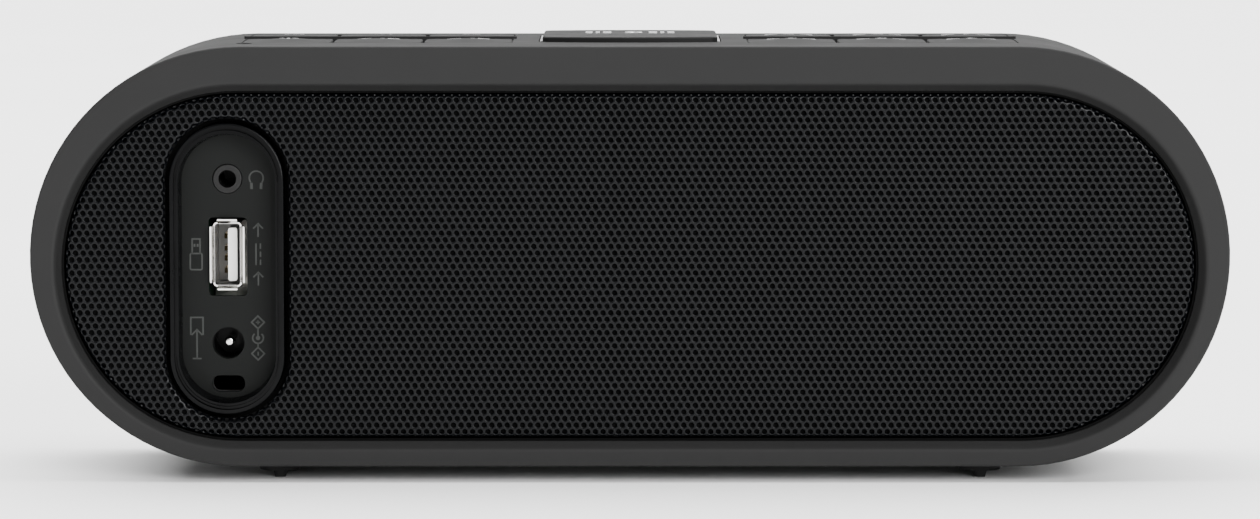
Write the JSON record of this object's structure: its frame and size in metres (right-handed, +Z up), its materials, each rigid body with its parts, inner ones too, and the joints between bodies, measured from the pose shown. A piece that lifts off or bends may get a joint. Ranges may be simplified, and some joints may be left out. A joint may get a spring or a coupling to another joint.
{
  "type": "tabletop radio",
  "caption": "Stadium-shaped tabletop radio in a soft-touch sleeve, with perforated front and rear grilles, a rear port panel, top keys and a snooze bar.",
  "frame": {"origin": "centre of the footprint, on the surface that the rubber feet stand on", "axes": "+Z up, +X along the width, -Y out of the front with the display, +Y out of the rear with the ports"},
  "size_m": [0.242, 0.056, 0.0894],
  "materials": {
    "sleeve_soft_touch": "soft-touch, very fine grain",
    "inner_plastic": "fine spark-eroded texture",
    "screw_steel": "zinc plated",
    "grille_metal": "satin black, perforated",
    "grille_cloth": "fine black acoustic cloth",
    "port_plastic": "fine matt",
    "bright_nickel": "bright plated",
    "white_plastic": "satin",
    "gold_contacts": "gold plated",
    "jack_plastic": "moulded gloss",
    "circuit_board": "solder mask",
    "snooze_plastic": "satin gloss",
    "light_base": "satin",
    "key_soft_touch": "soft-touch",
    "basket_steel": "black coated",
    "magnet_steel": "zinc plated",
    "ferrite": "ground",
    "surround_rubber": "smooth matt",
    "radiator_metal": "black lacquered",
    "display_lens": "polished",
    "display_glass": "polished",
    "components": "moulded",
    "tuner_steel": "tinned",
    "wire_cover": "smooth",
    "ribbon_film": "smooth",
    "foot_rubber": "matt",
    "cone_paper": "pressed pulp",
    "coil_copper": "wound wire",
    "spider_cloth": "woven"
  },
  "bodies": {
    "cabinet": {"outer_sleeve": "sleeve_soft_touch", "front_cabinet": "inner_plastic", "rear_cabinet": "inner_plastic", "case_screws": "screw_steel", "inner_screws": "screw_steel", "front_grille": "grille_metal", "rear_grille": "grille_metal", "grille_cloths": "grille_cloth", "port_surround": "port_plastic", "port_panel": "port_plastic", "headphone_jack": "port_plastic", "usb_shell": "bright_nickel", "usb_tongue": "white_plastic", "usb_contacts": "gold_contacts", "dc_jack": "jack_plastic", "dc_pin": "bright_nickel", "lock_plate": "screw_steel", "port_board": "circuit_board", "key_frame": "inner_plastic", "key_board": "circuit_board", "snap_domes": "bright_nickel", "speaker_baskets": "basket_steel", "speaker_magnets": "ferrite", "speaker_yokes": "magnet_steel", "radiator_frame": "inner_plastic", "radiator_surround": "surround_rubber", "display_lens": "display_lens", "display_frame": "inner_plastic", "display_glass": "display_glass", "main_board": "circuit_board", "board_parts": "components", "tuner_can": "tuner_steel", "speaker_leads": "wire_cover", "ribbon_cables": "ribbon_film", "foot_pads": "foot_rubber", "left_surround": "surround_rubber", "left_spider": "spider_cloth", "right_surround": "surround_rubber", "right_spider": "spider_cloth"},
    "key_preset_1": {"key_preset_1": "key_soft_touch"},
    "key_preset_2": {"key_preset_2": "key_soft_touch"},
    "key_preset_3": {"key_preset_3": "key_soft_touch"},
    "key_preset_4": {"key_preset_4": "key_soft_touch"},
    "key_preset_5": {"key_preset_5": "key_soft_touch"},
    "key_preset_6": {"key_preset_6": "key_soft_touch"},
    "key_power": {"key_power": "key_soft_touch"},
    "key_volume_down": {"key_volume_down": "key_soft_touch"},
    "key_volume_up": {"key_volume_up": "key_soft_touch"},
    "key_menu": {"key_menu": "key_soft_touch"},
    "key_tune_down": {"key_tune_down": "key_soft_touch"},
    "key_tune_up": {"key_tune_up": "key_soft_touch"},
    "snooze": {"snooze_bar": "snooze_plastic", "snooze_base": "light_base"},
    "left_driver": {"left_cone": "cone_paper", "left_dust_cap": "cone_paper", "left_voice_coil": "coil_copper"},
    "right_driver": {"right_cone": "cone_paper", "right_dust_cap": "cone_paper", "right_voice_coil": "coil_copper"},
    "radiator": {"radiator_plate": "radiator_metal"}
  },
  "joints": [
    {"name": "key_preset_1_press", "type": "slide", "parent": "cabinet", "child": "key_preset_1", "axis": [0, 0, -1], "range_m": [0, 0.0005], "stiffness_N_per_m": 2400, "springref_m": -0.0002},
    {"name": "key_preset_2_press", "type": "slide", "parent": "cabinet", "child": "key_preset_2", "axis": [0, 0, -1], "range_m": [0, 0.0005], "stiffness_N_per_m": 2400, "springref_m": -0.0002},
    {"name": "key_preset_3_press", "type": "slide", "parent": "cabinet", "child": "key_preset_3", "axis": [0, 0, -1], "range_m": [0, 0.0005], "stiffness_N_per_m": 2400, "springref_m": -0.0002},
    {"name": "key_preset_4_press", "type": "slide", "parent": "cabinet", "child": "key_preset_4", "axis": [0, 0, -1], "range_m": [0, 0.0005], "stiffness_N_per_m": 2400, "springref_m": -0.0002},
    {"name": "key_preset_5_press", "type": "slide", "parent": "cabinet", "child": "key_preset_5", "axis": [0, 0, -1], "range_m": [0, 0.0005], "stiffness_N_per_m": 2400, "springref_m": -0.0002},
    {"name": "key_preset_6_press", "type": "slide", "parent": "cabinet", "child": "key_preset_6", "axis": [0, 0, -1], "range_m": [0, 0.0005], "stiffness_N_per_m": 2400, "springref_m": -0.0002},
    {"name": "key_power_press", "type": "slide", "parent": "cabinet", "child": "key_power", "axis": [0, 0, -1], "range_m": [0, 0.0005], "stiffness_N_per_m": 2400, "springref_m": -0.0002},
    {"name": "key_volume_down_press", "type": "slide", "parent": "cabinet", "child": "key_volume_down", "axis": [0, 0, -1], "range_m": [0, 0.0005], "stiffness_N_per_m": 2400, "springref_m": -0.0002},
    {"name": "key_volume_up_press", "type": "slide", "parent": "cabinet", "child": "key_volume_up", "axis": [0, 0, -1], "range_m": [0, 0.0005], "stiffness_N_per_m": 2400, "springref_m": -0.0002},
    {"name": "key_menu_press", "type": "slide", "parent": "cabinet", "child": "key_menu", "axis": [0, 0, -1], "range_m": [0, 0.0005], "stiffness_N_per_m": 2400, "springref_m": -0.0002},
    {"name": "key_tune_down_press", "type": "slide", "parent": "cabinet", "child": "key_tune_down", "axis": [0, 0, -1], "range_m": [0, 0.0005], "stiffness_N_per_m": 2400, "springref_m": -0.0002},
    {"name": "key_tune_up_press", "type": "slide", "parent": "cabinet", "child": "key_tune_up", "axis": [0, 0, -1], "range_m": [0, 0.0005], "stiffness_N_per_m": 2400, "springref_m": -0.0002},
    {"name": "snooze_press", "type": "slide", "parent": "cabinet", "child": "snooze", "axis": [0, 0, -1], "range_m": [0, 0.0005], "stiffness_N_per_m": 3200, "springref_m": -0.0002},
    {"name": "left_driver_stroke", "type": "slide", "parent": "cabinet", "child": "left_driver", "axis": [0, -1, 0], "range_m": [-0.0015, 0.0015], "stiffness_N_per_m": 1300, "deforming": ["left_surround", "left_spider"]},
    {"name": "right_driver_stroke", "type": "slide", "parent": "cabinet", "child": "right_driver", "axis": [0, -1, 0], "range_m": [-0.0015, 0.0015], "stiffness_N_per_m": 1300, "deforming": ["right_surround", "right_spider"]},
    {"name": "radiator_stroke", "type": "slide", "parent": "cabinet", "child": "radiator", "axis": [0, 1, 0], "range_m": [-0.002, 0.002], "stiffness_N_per_m": 1100, "deforming": ["radiator_surround"]}
  ]
}
